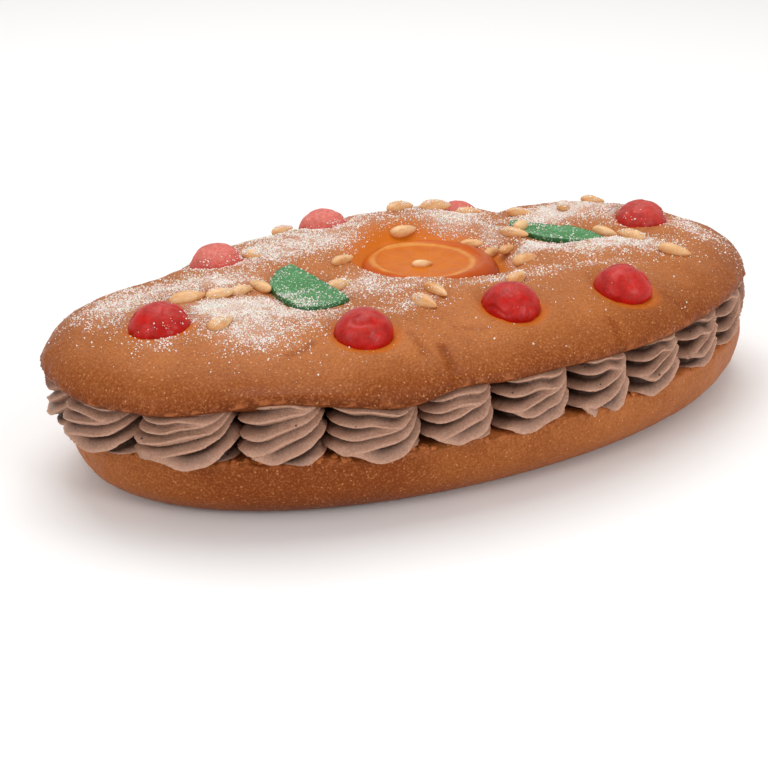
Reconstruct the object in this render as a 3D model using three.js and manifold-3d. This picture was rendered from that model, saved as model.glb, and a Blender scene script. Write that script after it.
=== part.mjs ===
// Chocolate-filled coca: an oval sweet loaf, cut level through its widest part and filled with a ring
// of piped chocolate cream. The upper half carries candied cherries, candied green peel, a candied
// orange slice and pine nuts. Millimetres, +Z up, X along the loaf, origin under its middle.
import * as THREE from "three";
import { mergeVertices } from "three/addons/utils/BufferGeometryUtils.js";
import Module from "manifold-3d";

// The loaf
const LOAF_LENGTH = 318;
const LOAF_WIDTH = 177;
const BASE_HEIGHT = 27;
const CREAM_HEIGHT = 20;
const TOP_HEIGHT = 20;
const HALF_LENGTH = LOAF_LENGTH / 2;
const HALF_WIDTH = LOAF_WIDTH / 2;
const CUT_HEIGHT = BASE_HEIGHT + CREAM_HEIGHT; // of the upper half's cut face
const TOP_SHIFT = -1.2; // the upper half sits a little to the left
const BASE_FIT = { x: 155 / 159, y: 87 / 88.5 }; // the lower half is the smaller one
const BASE_SHIFT = { x: 4.8, y: 1.5 };
const FOOT_IN = 20; // how far the foot of the lower half rounds in
const FOOT_UP = 21.5; // and up

// The piped rosettes: how much of the edge each takes, uneven as piped by hand, from the left end
// along the near side and back along the far side
const ROSETTE_WIDTHS = [
  37.5, 43, 33.5, 36.5, 30.5, 36, 31, 32.5, 33, 33, 32, 32.5,
  31, 32, 33, 31, 31.5, 32.5, 32, 31, 33, 32, 31, 32,
];
const ROSETTE_START = 396; // along the edge from its right end, where the first one begins
const ROSETTE_DEPTH = 33; // from the outer edge towards the middle
const ROSETTE_RIDGES = 8; // the star tube's points
const ROSETTE_RIDGE_DEPTH = 0.16; // of the radius
const ROSETTE_TWIST = THREE.MathUtils.degToRad(150);

// The fruit
const CHERRY_RADIUS = 11.6;
const ORANGE_RADIUS = 30;
const PEEL_THICKNESS = 3.4;

const CLEARANCE = 0.3; // between pieces that touch in the real thing
const DOWN = new THREE.Vector3(0, 0, -1);
const UP = new THREE.Vector3(0, 0, 1);

const wasm = await Module();
wasm.setup();

// Where the fruit sits, in plan: the angle that it is turned by, and how much deeper than half it sits
const CHERRIES = [
  { x: -119, y: -8, turn: 0, sunk: 1.2 },
  { x: -58, y: -53.5, turn: 40, sunk: 0.6 },
  { x: 4.6, y: -59, turn: 95, sunk: 0.4 },
  { x: 58, y: -59, turn: 150, sunk: 0 },
  { x: 120, y: 6, turn: 200, sunk: 0.8 },
  { x: 57, y: 59, turn: 230, sunk: 4 },
  { x: -7, y: 66, turn: 280, sunk: 2.2 },
  { x: -69, y: 48, turn: 320, sunk: 4 },
];
const ORANGE = { x: 12.5, y: 14.5, turn: 20 };

// Candied peel as four corners in plan, in order round the piece, with its slopes along X and Y
const PEELS = [
  { corners: [[-64, 15], [-65, -19], [-41, -22], [-38, 25]], bend: 1.2, slope: [0.02, 0.05], lift: 1.6 },
  { corners: [[58, 16], [91, -15], [86, 11], [66, 34]], bend: 2.2, slope: [0.02, 0.04], lift: 1.3 },
];

// Pine nuts as they fell, in plan, with the heading of each point in degrees
const NUTS = [
  // beside and behind the left peel
  { x: -97.5, y: 13.5, turn: 10 },
  { x: -88, y: 10.7, turn: 25 },
  { x: -79.5, y: 10, turn: 35 },
  { x: -72.5, y: 15, turn: 100 },
  { x: -98, y: -18, turn: 20 },
  { x: -52, y: 46, turn: 120 },
  { x: -28, y: 67, turn: 10 },
  // round the orange slice
  { x: -26, y: 18, turn: 60 },
  { x: -30.5, y: 2.5, turn: 30 },
  { x: 16, y: 49, turn: 20 },
  { x: 27, y: 63, turn: 5 },
  { x: 39, y: 39.5, turn: -50 },
  { x: 50, y: 13, turn: 15 },
  { x: 54, y: 2, turn: 60 },
  { x: 41.5, y: -15.5, turn: 10 },
  { x: 22, y: -37, turn: 25 },
  { x: -22.5, y: -39, turn: -45 },
  { x: -13, y: -32.5, turn: -50 },
  // on the far edge and round the right peel
  { x: 40, y: 57, turn: -10 },
  { x: 60, y: 45, turn: -20 },
  { x: 78, y: 40, turn: -40 },
  { x: 51, y: 23, turn: -60 },
  { x: 96, y: 31, turn: 40 },
  { x: 116, y: 36, turn: -20 },
  { x: 96, y: 1, turn: -70 },
  { x: 98, y: -14, turn: 120 },
  { x: 103, y: -37, turn: -40 },
];
const NUT_ON_ORANGE = { x: 6, y: 10, turn: -10 };
const NUT_ON_PEEL = { x: 66, y: 22, turn: 30 };

// Pillows and hollows of the baked top: a place in plan, a reach along and across, and a height
const PILLOWS = [
  { x: 22, y: 60, along: 36, across: 17, height: 4.8 },
  { x: -15, y: -18, along: 15, across: 11, height: 2.4 },
  { x: -46, y: 56, along: 30, across: 16, height: 2.6 },
  { x: 108, y: 34, along: 24, across: 18, height: 3 },
  { x: -6, y: -31, along: 30, across: 12, height: 1.6 },
  { x: 54, y: 4, along: 9, across: 22, height: 2 },
  { x: -27, y: 4, along: 9, across: 20, height: 2.4 },
  { x: 84, y: -14, along: 20, across: 10, height: 2 },
  { x: -95, y: 5, along: 34, across: 40, height: 1.2 },
  { x: -57, y: -13, along: 14, across: 13, height: -2 },
  { x: 78, y: 12, along: 20, across: 18, height: -2.6 },
];

// A closed three.js mesh as a solid that can be joined and cut
function solidOf(geometry) {
  const open = geometry.clone();
  open.deleteAttribute("normal");
  open.deleteAttribute("uv");
  const merged = mergeVertices(open, 1e-3);
  return new wasm.Manifold(
    new wasm.Mesh({
      numProp: 3,
      vertProperties: new Float32Array(merged.attributes.position.array),
      triVerts: new Uint32Array(merged.index.array),
    }),
  );
}

function geometryOf(solid) {
  const { vertProperties, triVerts } = solid.getMesh();
  const geometry = new THREE.BufferGeometry();
  geometry.setAttribute("position", new THREE.BufferAttribute(vertProperties, 3));
  geometry.setIndex(new THREE.BufferAttribute(triVerts, 1));
  geometry.computeVertexNormals();
  return geometry;
}

// Moves every vertex of a geometry by a function of its place
function reshape(geometry, move) {
  const place = geometry.attributes.position;
  const point = new THREE.Vector3();
  for (let i = 0; i < place.count; i += 1) {
    point.fromBufferAttribute(place, i);
    move(point);
    place.setXYZ(i, point.x, point.y, point.z);
  }
  return geometry;
}

// A profile of [radius, height] pairs, spun about Z
function spun(profile, segments) {
  const points = profile.map(([radius, height]) => new THREE.Vector2(radius, height));
  return new THREE.LatheGeometry(points, segments).rotateX(Math.PI / 2);
}

function bump(distance, reach) {
  return Math.exp(-((distance / reach) ** 2));
}

function smoothstep(low, high, value) {
  return THREE.MathUtils.smoothstep(value, low, high);
}

// A round spun form becomes the loaf's hand-shaped oval: insets from the edge stay true to size
function ovalPlan(point) {
  const radius = Math.hypot(point.x, point.y);
  const angle = Math.atan2(point.y, point.x);
  const share = radius / HALF_WIDTH;
  const stretch = (HALF_LENGTH - HALF_WIDTH) * (1 - (1 - share) ** 2);
  const uneven = 1 + share * share * (0.004 * Math.cos(3 * angle + 0.6) + 0.003 * Math.sin(5 * angle));
  point.x = Math.cos(angle) * (radius + stretch) * uneven;
  point.y = Math.sin(angle) * radius * uneven;
}

// How far the baked top stands above or below an even dome, at a place in plan
function relief(x, y) {
  const valley = -3.2 * bump(y, 24) * smoothstep(-95, -60, x) * (1 - smoothstep(95, 135, x));
  const orangeHollow = -6.4 * (1 - smoothstep(30, 41, Math.hypot(x - ORANGE.x - 4, y - ORANGE.y)));
  const farCrease = -3.4 * bump(x - 74 - 0.3 * (y - 47), 8) * smoothstep(26, 44, y);
  const nearCrease = -1.4 * bump(x + 88 + 0.3 * (y + 40), 9) * smoothstep(20, 40, -y);
  const pillows = PILLOWS.reduce(
    (sum, p) => sum + p.height * bump(Math.hypot((x - p.x) / p.along, (y - p.y) / p.across), 1),
    0,
  );
  const cherryDips = CHERRIES.reduce(
    (sum, cherry) => sum - 2.2 * bump(Math.hypot(x - cherry.x, y - cherry.y), 12),
    0,
  );
  return valley + orangeHollow + farCrease + nearCrease + pillows + cherryDips;
}

// How far the upper half's lip rides over the cream or sags between two rosettes, at an angle
function lipLift(angle) {
  const degrees = THREE.MathUtils.euclideanModulo(THREE.MathUtils.radToDeg(angle), 360);
  const swells = 4 * bump(degrees - 231, 9) + 2.6 * bump(degrees - 258, 5) + bump(degrees - 270, 9);
  const sags = -1.6 * bump(degrees - 249, 4.5) - 0.8 * bump(degrees - 211, 5);
  return swells + sags + 0.4 + 0.4 * Math.sin(8 * angle + 1.1);
}

// The lower half: flat underneath, a well-rounded foot, steep sides and a level cut face
function breadBase() {
  const profile = [[0, 0], [HALF_WIDTH - FOOT_IN, 0]];
  const ROWS = 5;
  for (let row = 1; row <= ROWS; row += 1) {
    const turn = (row / ROWS) * (Math.PI / 2);
    profile.push([HALF_WIDTH - FOOT_IN * (1 - Math.sin(turn)), FOOT_UP * (1 - Math.cos(turn))]);
  }
  profile.push([HALF_WIDTH - 0.3, BASE_HEIGHT - 1.2], [HALF_WIDTH - 1.6, BASE_HEIGHT], [0, BASE_HEIGHT]);
  return reshape(spun(profile, 52), (point) => {
    ovalPlan(point);
    point.x = point.x * BASE_FIT.x + BASE_SHIFT.x;
    point.y = point.y * BASE_FIT.y + BASE_SHIFT.y;
  });
}

// The upper half before anything is set in it: cut face, thin lip, full shoulder and pillowed top
function breadTopDough() {
  const WIDEST = 2; // above the cut face
  const RISE = TOP_HEIGHT - WIDEST;
  const profile = [[0, 0], [HALF_WIDTH - 8, 0], [HALF_WIDTH - 1.4, 0.4], [HALF_WIDTH, WIDEST]];
  const shoulder = [0.995, 0.98, 0.955, 0.92, 0.875, 0.82, 0.75, 0.68];
  const crown = [0.6, 0.51, 0.42, 0.34, 0.26, 0.18, 0.1, 0];
  [...shoulder, ...crown].forEach((share) => {
    profile.push([HALF_WIDTH * share, WIDEST + RISE * Math.sqrt(1 - share ** 3.64)]);
  });
  return reshape(spun(profile, 72), (point) => {
    const angle = Math.atan2(point.y, point.x);
    const share = Math.hypot(point.x, point.y) / HALF_WIDTH;
    const height = point.z;
    if (height > WIDEST && share > 0.01) {
      const fuller = share ** (0.1 * Math.cos(angle)); // towards the left end
      point.x *= fuller;
      point.y *= fuller;
    }
    ovalPlan(point);
    point.x += TOP_SHIFT;
    const lift = lipLift(angle) * smoothstep(0.9, 0.99, share) * (1 - smoothstep(2, 12, height));
    const pillow = relief(point.x, point.y) * smoothstep(4, 15, height);
    point.z = CUT_HEIGHT + height + lift + pillow;
  });
}

// Drops straight down on the dough: where it lands and which way the surface faces
function landingOn(dough) {
  const target = new THREE.Mesh(dough);
  return (x, y) => {
    const ray = new THREE.Raycaster(new THREE.Vector3(x, y, 200), DOWN);
    const [{ point, face }] = ray.intersectObject(target);
    return { point, normal: face.normal.clone() };
  };
}

// The matrix that sets a piece on the dough, sunk along the surface's own normal
function seat({ point, normal }, turn, sink, lean = 1) {
  const tipped = UP.clone().lerp(normal, lean).normalize();
  const matrix = new THREE.Matrix4().makeRotationFromQuaternion(
    new THREE.Quaternion().setFromUnitVectors(UP, tipped),
  );
  matrix.multiply(new THREE.Matrix4().makeRotationZ(THREE.MathUtils.degToRad(turn)));
  return matrix.setPosition(point.clone().addScaledVector(tipped, -sink));
}

// A candied cherry, slightly squat and lopsided, flattened where it is pressed into the dough
function cherry(grow = 0) {
  const radius = CHERRY_RADIUS + grow;
  return reshape(new THREE.SphereGeometry(radius, 12, 8).rotateX(Math.PI / 2), (point) => {
    const angle = Math.atan2(point.y, point.x);
    const lopsided = 1 + 0.04 * Math.cos(angle) + 0.025 * Math.sin(3 * angle);
    point.x *= lopsided;
    point.y *= lopsided * 0.95;
    point.z = Math.max(point.z * 0.88, -0.45 * CHERRY_RADIUS - grow);
  });
}

// A thick candied orange slice: sloping rind, a raised ring of pith and a slightly sunk flesh. Its
// socket is a little larger and open upwards.
function orangeSlice(grow = 0) {
  const R = ORANGE_RADIUS + grow;
  const profile = [[0, -grow], [R - 1.5, -grow], [R, 2], [R - 0.9, 3.6]];
  if (grow > 0) {
    profile.push([R - 0.9, 20], [0, 20]);
  } else {
    profile.push([R - 4.6, 6.6], [R - 6.6, 6.2], [R - 8.6, 5.2], [0, 4.9]);
  }
  return reshape(spun(profile, 28), (point) => {
    const angle = Math.atan2(point.y, point.x);
    const wobble = 1 + 0.02 * Math.sin(2 * angle + 0.5) + 0.01 * Math.cos(5 * angle);
    point.x *= wobble;
    point.y *= wobble;
  });
}

// The middle of a peel's four corners
function peelMiddle({ corners }) {
  const [x, y] = [0, 1].map((axis) => corners.reduce((sum, corner) => sum + corner[axis] / 4, 0));
  return { x, y };
}

// A piece of candied peel: a thin slab with rounded corners, bent lengthwise and dished across
function peel(spot, grow = 0) {
  const middle = peelMiddle(spot);
  const [a, b, c, d] = spot.corners.map(([x, y]) => new THREE.Vector2(x - middle.x, y - middle.y));
  return reshape(new THREE.BoxGeometry(2, 2, 1, 7, 5, 1), (point) => {
    const u = point.x * Math.sqrt(1 - 0.27 * point.y ** 2);
    const v = point.y * Math.sqrt(1 - 0.27 * point.x ** 2);
    const near = a.clone().lerp(b, (u + 1) / 2);
    const far = d.clone().lerp(c, (u + 1) / 2);
    const place = near.lerp(far, (v + 1) / 2);
    place.multiplyScalar(1 + grow / 10);
    const sag = spot.bend * (u * u - 0.4 + 0.4 * v * v);
    point.set(place.x, place.y, point.z * (PEEL_THICKNESS + 2 * grow) + sag);
  });
}

// A pine nut: a teardrop with its point forward
function nut() {
  const LENGTH = 12;
  const WIDTH = 5.4;
  return reshape(new THREE.SphereGeometry(0.5, 6, 4).rotateZ(-Math.PI / 2), (point) => {
    const taper = 1 - 0.55 * point.x;
    point.set(point.x * LENGTH, point.y * WIDTH * taper, point.z * WIDTH * 0.9 * taper);
  });
}

// The edge that the rosettes are piped along, and a place on it at a distance in from the edge
const EDGE = new THREE.EllipseCurve(0, 0, HALF_LENGTH - 0.5, HALF_WIDTH + 0.5);
EDGE.arcLengthDivisions = 2000;
const EDGE_LENGTH = EDGE.getLength();

function edgePlace(along, inward) {
  const share = THREE.MathUtils.euclideanModulo(along / EDGE_LENGTH, 1);
  const point = EDGE.getPointAt(share);
  const tangent = EDGE.getTangentAt(share);
  return new THREE.Vector2(point.x - tangent.y * inward, point.y + tangent.x * inward);
}

// One piped rosette: a squat swirl of twisted ridges, pressed flat on top and against its neighbours
function rosette(index) {
  const before = ROSETTE_WIDTHS.slice(0, index).reduce((sum, width) => sum + width, ROSETTE_START);
  const width = ROSETTE_WIDTHS[index];
  const middle = before + width / 2;
  const halfWidth = width / 2 - CLEARANCE / 2;
  const height = CREAM_HEIGHT - 2 * CLEARANCE;
  const profile = [
    [0, 0], [0.86, 0], [1, 0.2], [0.98, 0.5], [0.82, 0.8], [0.5, 1], [0, 1],
  ];
  const phase = index * 2.4;
  return reshape(spun(profile, 2 * ROSETTE_RIDGES), (point) => {
    const radius = Math.hypot(point.x, point.y);
    const angle = Math.atan2(point.y, point.x);
    const crest = 0.5 + 0.5 * Math.cos(ROSETTE_RIDGES * angle);
    const turned = angle + phase + ROSETTE_TWIST * point.z;
    const along = Math.sin(turned);
    const outward = Math.cos(turned);
    const pressed = (Math.abs(along) ** 2.5 + Math.abs(outward) ** 2.5) ** (-1 / 2.5);
    const ridged = pressed * radius * (1 - ROSETTE_RIDGE_DEPTH * (1 - crest));
    const place = edgePlace(
      middle + halfWidth * ridged * along,
      (ROSETTE_DEPTH / 2) * (1 - ridged * outward),
    );
    point.set(place.x, place.y, BASE_HEIGHT + CLEARANCE + point.z * height);
  });
}

// The cream inside the ring of rosettes, which fills the loaf from side to side
function creamLayer() {
  const SIDES = 40;
  const low = BASE_HEIGHT + CLEARANCE;
  const high = CUT_HEIGHT - CLEARANCE;
  const outline = Array.from(
    { length: SIDES },
    (_, side) => edgePlace((side / SIDES) * EDGE_LENGTH, ROSETTE_DEPTH + CLEARANCE),
  );
  const shape = new THREE.Shape(outline);
  return new THREE.ExtrudeGeometry(shape, { depth: high - low, bevelEnabled: false }).translate(0, 0, low);
}

const crust = new THREE.MeshStandardMaterial({ color: 0xb0683c, roughness: 0.55 });
const cream = new THREE.MeshStandardMaterial({ color: 0xa87c68, roughness: 0.6 });
const candiedRed = new THREE.MeshStandardMaterial({ color: 0xc12a22, roughness: 0.25 });
const candiedGreen = new THREE.MeshStandardMaterial({ color: 0x4f9a5c, roughness: 0.35 });
const candiedOrange = new THREE.MeshStandardMaterial({ color: 0xd8802f, roughness: 0.2 });

const coca = new THREE.Group();

function add(name, geometry, material, matrix) {
  const mesh = new THREE.Mesh(geometry, material);
  mesh.name = name;
  if (matrix) mesh.applyMatrix4(matrix);
  coca.add(mesh);
}

const dough = breadTopDough();
const landing = landingOn(dough);
let top = solidOf(dough);

// Presses a piece of fruit into the dough: its socket is cut a little larger than the piece
function pressIn(name, form, material, matrix) {
  top = top.subtract(solidOf(form(CLEARANCE).applyMatrix4(matrix)));
  add(name, form(), material, matrix);
}

CHERRIES.forEach((spot, index) => {
  const matrix = seat(landing(spot.x, spot.y), spot.turn, spot.sunk - 1.2, 0.8);
  pressIn(`cherry_${index + 1}`, cherry, candiedRed, matrix);
});
pressIn("orange_slice", orangeSlice, candiedOrange, seat(landing(ORANGE.x, ORANGE.y), ORANGE.turn, 2, 0));
PEELS.forEach((spot, index) => {
  const middle = peelMiddle(spot);
  const normal = new THREE.Vector3(-spot.slope[0], -spot.slope[1], 1).normalize();
  const matrix = seat({ point: landing(middle.x, middle.y).point, normal }, 0, -spot.lift);
  pressIn(`green_peel_${index + 1}`, (grow) => peel(spot, grow), candiedGreen, matrix);
});

// Two pine nuts lie on the fruit and stick to it; every other one is stuck to the dough
function stickOn(name, spot) {
  const piece = coca.getObjectByName(name);
  const world = piece.geometry.clone().applyMatrix4(piece.matrix);
  const nutOnIt = nut().applyMatrix4(seat(landingOn(world)(spot.x, spot.y), spot.turn, -1.4));
  piece.geometry = geometryOf(solidOf(world).add(solidOf(nutOnIt)));
  piece.matrix.identity().decompose(piece.position, piece.quaternion, piece.scale);
}

stickOn("orange_slice", NUT_ON_ORANGE);
stickOn("green_peel_2", NUT_ON_PEEL);
NUTS.forEach((spot) => {
  top = top.add(solidOf(nut().applyMatrix4(seat(landing(spot.x, spot.y), spot.turn, -1.4))));
});

add("bread_base", breadBase(), crust);
add("bread_top", geometryOf(top), crust);
add("cream_layer", creamLayer(), cream);
ROSETTE_WIDTHS.forEach((_, index) => {
  add(`cream_rosette_${String(index + 1).padStart(2, "0")}`, rosette(index), cream);
});

export default coca;
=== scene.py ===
import math

import bmesh
import bpy
import numpy as np
from mathutils import Matrix, Vector
from mathutils.bvhtree import BVHTree


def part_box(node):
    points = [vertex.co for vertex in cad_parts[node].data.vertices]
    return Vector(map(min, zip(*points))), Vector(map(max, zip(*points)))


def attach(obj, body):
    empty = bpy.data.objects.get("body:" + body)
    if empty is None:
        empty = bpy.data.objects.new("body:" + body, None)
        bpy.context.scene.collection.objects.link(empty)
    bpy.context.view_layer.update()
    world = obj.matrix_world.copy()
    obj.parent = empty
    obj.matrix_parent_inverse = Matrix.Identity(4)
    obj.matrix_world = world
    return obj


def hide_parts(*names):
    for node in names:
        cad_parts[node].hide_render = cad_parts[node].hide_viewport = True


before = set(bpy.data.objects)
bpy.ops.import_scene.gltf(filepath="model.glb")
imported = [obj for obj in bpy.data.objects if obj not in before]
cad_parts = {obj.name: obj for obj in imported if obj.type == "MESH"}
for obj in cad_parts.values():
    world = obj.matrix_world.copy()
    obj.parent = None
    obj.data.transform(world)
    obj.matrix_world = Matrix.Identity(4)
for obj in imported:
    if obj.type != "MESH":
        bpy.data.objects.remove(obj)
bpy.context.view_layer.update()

# Shapes are worked out in millimetres and become metres when a piece is finished
MM = 0.001
UP = Vector((0, 0, 1))


def box(node):
    """A CAD node's lowest and highest corner, in millimetres."""
    low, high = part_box(node)
    return low / MM, high / MM


TOP_LOW, TOP_HIGH = box("bread_top")
BASE_LOW, BASE_HIGH = box("bread_base")
CREAM_LOW, CREAM_HIGH = box("cream_layer")
HALF_LENGTH = (TOP_HIGH.x - TOP_LOW.x) / 2
HALF_WIDTH = (TOP_HIGH.y - TOP_LOW.y) / 2
TOP_SHIFT = -1.2
BASE_HEIGHT = BASE_HIGH.z
CLEARANCE = 0.3
CUT_HEIGHT = CREAM_HIGH.z + CLEARANCE
TOP_HEIGHT = 20
BASE_FIT = (155 / 159, 87 / 88.5)
BASE_SHIFT = (4.8, 1.5)
FOOT_IN = 20
FOOT_UP = 21.5
ROSETTE_WIDTHS = [
    41, 39.5, 33.5, 36.5, 30.5, 36, 31, 32.5, 33, 33, 32, 32.5,
    31, 32, 33, 31, 31.5, 32.5, 32, 31, 33, 32, 31, 32,
]
ROSETTE_START = 396
ROSETTE_DEPTH = 33
CHERRY_RADIUS = 11.9
# Cherries: place in plan, turn in degrees, how deep it is pressed in, how thickly it is sugared
CHERRIES = [
    (-119, -8, 0, 0.6, 0.04),
    (-57, -51.5, 40, 0.4, 0.04),
    (5.6, -57, 95, 0.2, 0.03),
    (58, -59, 150, 0, 0.06),
    (122, 8, 200, 0.6, 0.2),
    (57, 59, 230, 6, 0.6),
    (-8.2, 66.7, 280, 2.2, 0.75),
    (-69, 48, 320, 2.8, 0.7),
]
ORANGE = (12.5, 14.5)
ORANGE_RADIUS = 30
PEEL_THICKNESS = 3.4
# Peels: four corners in plan, lengthwise bend, slopes along X and Y, lift off the dough
PEELS = [
    ([(-67.3, 8.5), (-66.6, -23.5), (-42.5, -23), (-46.8, 27)], 1.2, (0.02, 0.05), 1.6),
    ([(58, 16), (91, -15), (86, 11), (66, 34)], 2.2, (0.02, 0.04), 1.3),
]
# Pine nuts: place in plan, heading of the point in degrees, size
NUTS = [
    (-101, 5.5, -6, 1.08), (-88.5, 3.5, -4, 0.9), (-78.5, 5.5, 14, 0.85), (-68.6, 9, 100, 1),
    (-100.5, -22.3, 20, 1), (-57, 41, 120, 0.9), (-28, 67, 10, 0.9), (-26, 18, 14, 0.9),
    (-39.5, -2, 10, 1), (19.5, 44.5, 0, 1.1), (28.5, 62, 5, 1.1), (42.5, 25, -22, 0.9),
    (45.5, 13.5, 15, 0.9), (49.5, 7.5, 8, 0.85), (57, 14, -55, 0.95), (41.5, -15.5, 10, 1.05),
    (22, -37, 25, 1), (-24, -41.5, -75, 1), (-15, -35.5, -84, 1), (43, 55.5, -10, 1.1),
    (55.5, 48, -20, 0.9), (78, 40, -40, 1), (96, 31, 40, 0.9), (116, 36, -20, 0.9),
    (96, 1, -70, 1), (98, -14, 120, 1), (103, -37, -40, 1.05),
]
NUT_ON_ORANGE = (7.5, 10, -10, 0.7)
NUT_ON_PEEL = (66, 22, 30, 0.9)
# Pillows and hollows of the baked top: place in plan, reach along and across, height
PILLOWS = [
    (22, 60, 36, 17, 4.8), (-15, -18, 15, 11, 2.4), (-46, 56, 30, 16, 2.6),
    (108, 34, 24, 18, 3), (-6, -31, 30, 12, 1.6), (54, 4, 9, 22, 2), (-27, 4, 9, 20, 2.4),
    (84, -14, 20, 10, 2), (-95, 5, 34, 40, 1.2), (-57, -13, 14, 13, -2), (78, 12, 20, 18, -2.6),
    (-92, 67, 25, 18, -6.5),
]
# Creases of the crust: ends in plan and depth; the deeper they are, the darker the shade painted into them
CREASES = [
    ((-35, -71), (-38, -86), 1.0), ((39, -76), (37, -86), 0.5), ((-42, -60), (-43, -72), 0.4),
    ((-88, -52), (-78, -50), 0.4), ((70, -66), (78, -74), 0.35), ((-24, -62), (-14, -68), 0.25),
]
# Drifts of sugar: place in plan, reach along and across, how much of the crust it covers
SUGAR_DRIFTS = [
    (-83, -9, 17, 9, 0.85), (-98, -6, 9, 7, 0.6), (-93, -25, 13, 10, 0.5), (-70, -22, 10, 6, 0.6),
    (-91, -37, 13, 11, 0.24), (-108, 25, 17, 10, 0.42), (-126, 22, 12, 13, 0.32), (-80, 22, 15, 8, 0.6),
    (-52, 42, 20, 10, 0.6), (-20, 46, 18, 10, 0.55), (-32, -8, 9, 9, 0.5), (-20, -22, 14, 6, 0.32),
    (8, 54, 16, 7, 0.25), (44, 46, 12, 12, 0.8), (50, 22, 5, 8, 0.5), (92, 30, 18, 8, 1.2),
    (120, 16, 13, 8, 0.8), (134, -12, 8, 18, 0.3), (57, -2, 14, 6, 0.8), (82, -17, 15, 6, 0.8),
    (102, -26, 10, 9, 0.3), (20, -33, 22, 5, 0.28), (-28, -38, 12, 6, 0.22), (-128, 8, 10, 12, 0.15),
    (52, 68, 28, 8, 0.6), (-40, 66, 36, 8, 0.5), (-124, -20, 8, 7, 0.2), (-66, -36, 16, 6, 0.2),
    (70, -34, 22, 8, 0.08), (-60, 0, 60, 45, 0.015), (40, 10, 80, 50, 0.02),
]


def bump(distance, reach):
    return np.exp(-((distance / reach) ** 2))


def smoothstep(low, high, value):
    share = np.clip((value - low) / (high - low), 0, 1)
    return share * share * (3 - 2 * share)


GRADIENTS = np.random.default_rng(5).normal(size=(4096, 3))
GRADIENTS /= np.linalg.norm(GRADIENTS, axis=1)[:, None]


def lumps_at(points):
    """Smooth noise of about one lump for each unit of length, between -1 and 1."""
    cell = np.floor(points).astype(np.int64)
    share = points - cell
    eased = share * share * (3 - 2 * share)
    total = np.zeros(len(points))
    for corner in np.ndindex(2, 2, 2):
        i, j, k = (cell + corner).T
        slope = GRADIENTS[(i * 73856093 ^ j * 19349663 ^ k * 83492791) % 4096]
        weight = np.prod(np.where(corner, eased, 1 - eased), axis=1)
        total += weight * np.sum(slope * (share - corner), axis=1)
    return 1.5 * total


def grain(points, size, seed=0.0, detail=2):
    """Natural unevenness between -1 and 1 at each point, with its largest lumps of this size."""
    points = np.asarray(points, float) / size + (seed * 17.3, seed * 5.1, seed * 11.7)
    return sum(lumps_at(points * 2**octave + 31 * octave) / 2**octave for octave in range(detail))


def oval_plan(x, y):
    """A round form becomes the loaf's hand-shaped oval: insets from the edge stay true to size."""
    radius, angle = np.hypot(x, y), np.arctan2(y, x)
    share = radius / HALF_WIDTH
    stretch = (HALF_LENGTH - HALF_WIDTH) * (1 - (1 - share) ** 2)
    uneven = 1 + share**2 * (0.004 * np.cos(3 * angle + 0.6) + 0.003 * np.sin(5 * angle))
    return np.cos(angle) * (radius + stretch) * uneven, np.sin(angle) * radius * uneven


def relief(x, y):
    """How far the baked top stands above or below an even dome."""
    valley = -3.2 * bump(y, 24) * smoothstep(-95, -60, x) * (1 - smoothstep(95, 135, x))
    hollow = -6.4 * (1 - smoothstep(30, 40, np.hypot(x - ORANGE[0] - 3, y - ORANGE[1] + 3)))
    far_crease = -3.4 * bump(x - 74 - 0.3 * (y - 47), 8) * smoothstep(26, 44, y)
    near_crease = -1.4 * bump(x + 88 + 0.3 * (y + 40), 9) * smoothstep(20, 40, -y)
    total = valley + hollow + far_crease + near_crease
    for px, py, along, across, height in PILLOWS:
        total = total + height * bump(np.hypot((x - px) / along, (y - py) / across), 1)
    for cx, cy, *_ in CHERRIES:
        away = np.hypot(x - cx, y - cy)
        total = total - 2.6 * bump(away, 11) + 1.1 * bump(away - 17, 5)
    for start, end, depth in CREASES:
        total = total - depth * bump(line_distance(x, y, start, end), 1.1)
    return total


def line_distance(x, y, start, end):
    """How far each place lies from a short straight line in plan."""
    along = np.subtract(end, start)
    share = ((x - start[0]) * along[0] + (y - start[1]) * along[1]) / np.dot(along, along)
    share = np.clip(share, 0, 1)
    return np.hypot(x - start[0] - share * along[0], y - start[1] - share * along[1])


def lip_lift(angle):
    """How far the upper half's lip rides over the cream or sags between two rosettes."""
    d = np.degrees(angle) % 360
    swells = 4 * bump(d - 231, 9) + 2.6 * bump(d - 258, 5) + bump(d - 270, 9)
    sags = -1.6 * bump(d - 249, 4.5) - 0.8 * bump(d - 211, 5) - 1.5 * bump(d - 194, 12)
    return swells + sags + 0.4 + 0.4 * np.sin(8 * angle + 1.1)


EDGE_ANGLES = np.linspace(0, 2 * math.pi, 4001)
EDGE_X = (HALF_LENGTH - 0.5) * np.cos(EDGE_ANGLES)
EDGE_Y = (HALF_WIDTH + 0.5) * np.sin(EDGE_ANGLES)
EDGE_RUN = np.concatenate([[0], np.cumsum(np.hypot(np.diff(EDGE_X), np.diff(EDGE_Y)))])


def edge_place(along, inward):
    """A place at a distance along the edge that the rosettes are piped on, and in from it."""
    angle = np.interp(np.mod(along, EDGE_RUN[-1]), EDGE_RUN, EDGE_ANGLES)
    tx = -(HALF_LENGTH - 0.5) * np.sin(angle)
    ty = (HALF_WIDTH + 0.5) * np.cos(angle)
    length = np.hypot(tx, ty)
    x = (HALF_LENGTH - 0.5) * np.cos(angle) - ty / length * inward
    y = (HALF_WIDTH + 0.5) * np.sin(angle) + tx / length * inward
    return x, y, angle


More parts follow.
